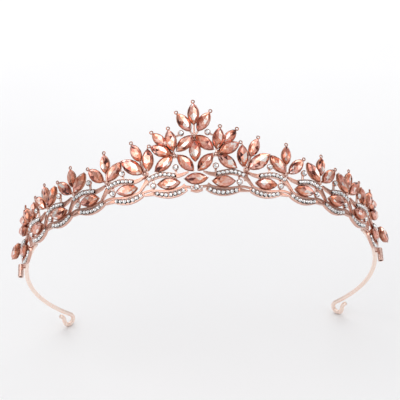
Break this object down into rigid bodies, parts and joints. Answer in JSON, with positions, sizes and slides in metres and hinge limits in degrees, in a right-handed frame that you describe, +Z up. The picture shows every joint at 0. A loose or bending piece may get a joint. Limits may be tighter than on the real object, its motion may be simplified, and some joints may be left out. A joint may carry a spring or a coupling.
{
  "type": "bridal tiara",
  "caption": "Rose gold tiara: a braided band of eye-shaped links with a crest of leaf-shaped champagne stones, clear rhinestones and two wire arms that end in pin eyes.",
  "frame": {"origin": "middle of the ring that sits on the head, in the ring's own plane", "axes": "+X towards the wearer's left, the way the crown is seen on the right of its front view; -Y towards the front; +Z up, with the ring's front raised 52 degrees above level and the arm ends lowest"},
  "size_m": [0.1606, 0.0829, 0.1329],
  "materials": {
    "rose_gold": "bright rose gold plate",
    "arm_wire": "satin rose gold plated wire",
    "champagne_glass": "faceted champagne peach glass",
    "set_stones": "faceted champagne peach glass in rose gold settings"
  },
  "bodies": {
    "root": {"end_tube_left": "rose_gold", "end_tube_right": "rose_gold", "fan_left_1": "set_stones", "fan_left_2": "set_stones", "fan_left_3": "set_stones", "fan_left_4": "set_stones", "fan_left_5": "set_stones", "fan_right_1": "set_stones", "fan_right_2": "set_stones", "fan_right_3": "set_stones", "fan_right_4": "set_stones", "fan_right_5": "set_stones", "flower_centre": "rose_gold", "flower_left": "rose_gold", "flower_right": "rose_gold", "headband_wire_left": "arm_wire", "headband_wire_right": "arm_wire", "link_centre": "rose_gold", "link_left_1": "rose_gold", "link_left_2": "rose_gold", "link_left_3": "rose_gold", "link_left_4": "rose_gold", "link_left_5": "rose_gold", "link_left_6": "rose_gold", "link_right_1": "rose_gold", "link_right_2": "rose_gold", "link_right_3": "rose_gold", "link_right_4": "rose_gold", "link_right_5": "rose_gold", "link_right_6": "rose_gold", "stone_flower_centre_1": "champagne_glass", "stone_flower_centre_2": "champagne_glass", "stone_flower_centre_3": "champagne_glass", "stone_flower_centre_4": "champagne_glass", "stone_flower_centre_5": "champagne_glass", "stone_flower_centre_6": "champagne_glass", "stone_flower_left_1": "champagne_glass", "stone_flower_left_2": "champagne_glass", "stone_flower_left_3": "champagne_glass", "stone_flower_left_4": "champagne_glass", "stone_flower_left_5": "champagne_glass", "stone_flower_right_1": "champagne_glass", "stone_flower_right_2": "champagne_glass", "stone_flower_right_3": "champagne_glass", "stone_flower_right_4": "champagne_glass", "stone_flower_right_5": "champagne_glass", "stone_link_centre": "champagne_glass", "stone_link_left_1": "champagne_glass", "stone_link_left_2": "champagne_glass", "stone_link_left_3": "champagne_glass", "stone_link_left_4": "champagne_glass", "stone_link_left_5": "champagne_glass", "stone_link_left_6": "champagne_glass", "stone_link_right_1": "champagne_glass", "stone_link_right_2": "champagne_glass", "stone_link_right_3": "champagne_glass", "stone_link_right_4": "champagne_glass", "stone_link_right_5": "champagne_glass", "stone_link_right_6": "champagne_glass"}
  },
  "joints": []
}
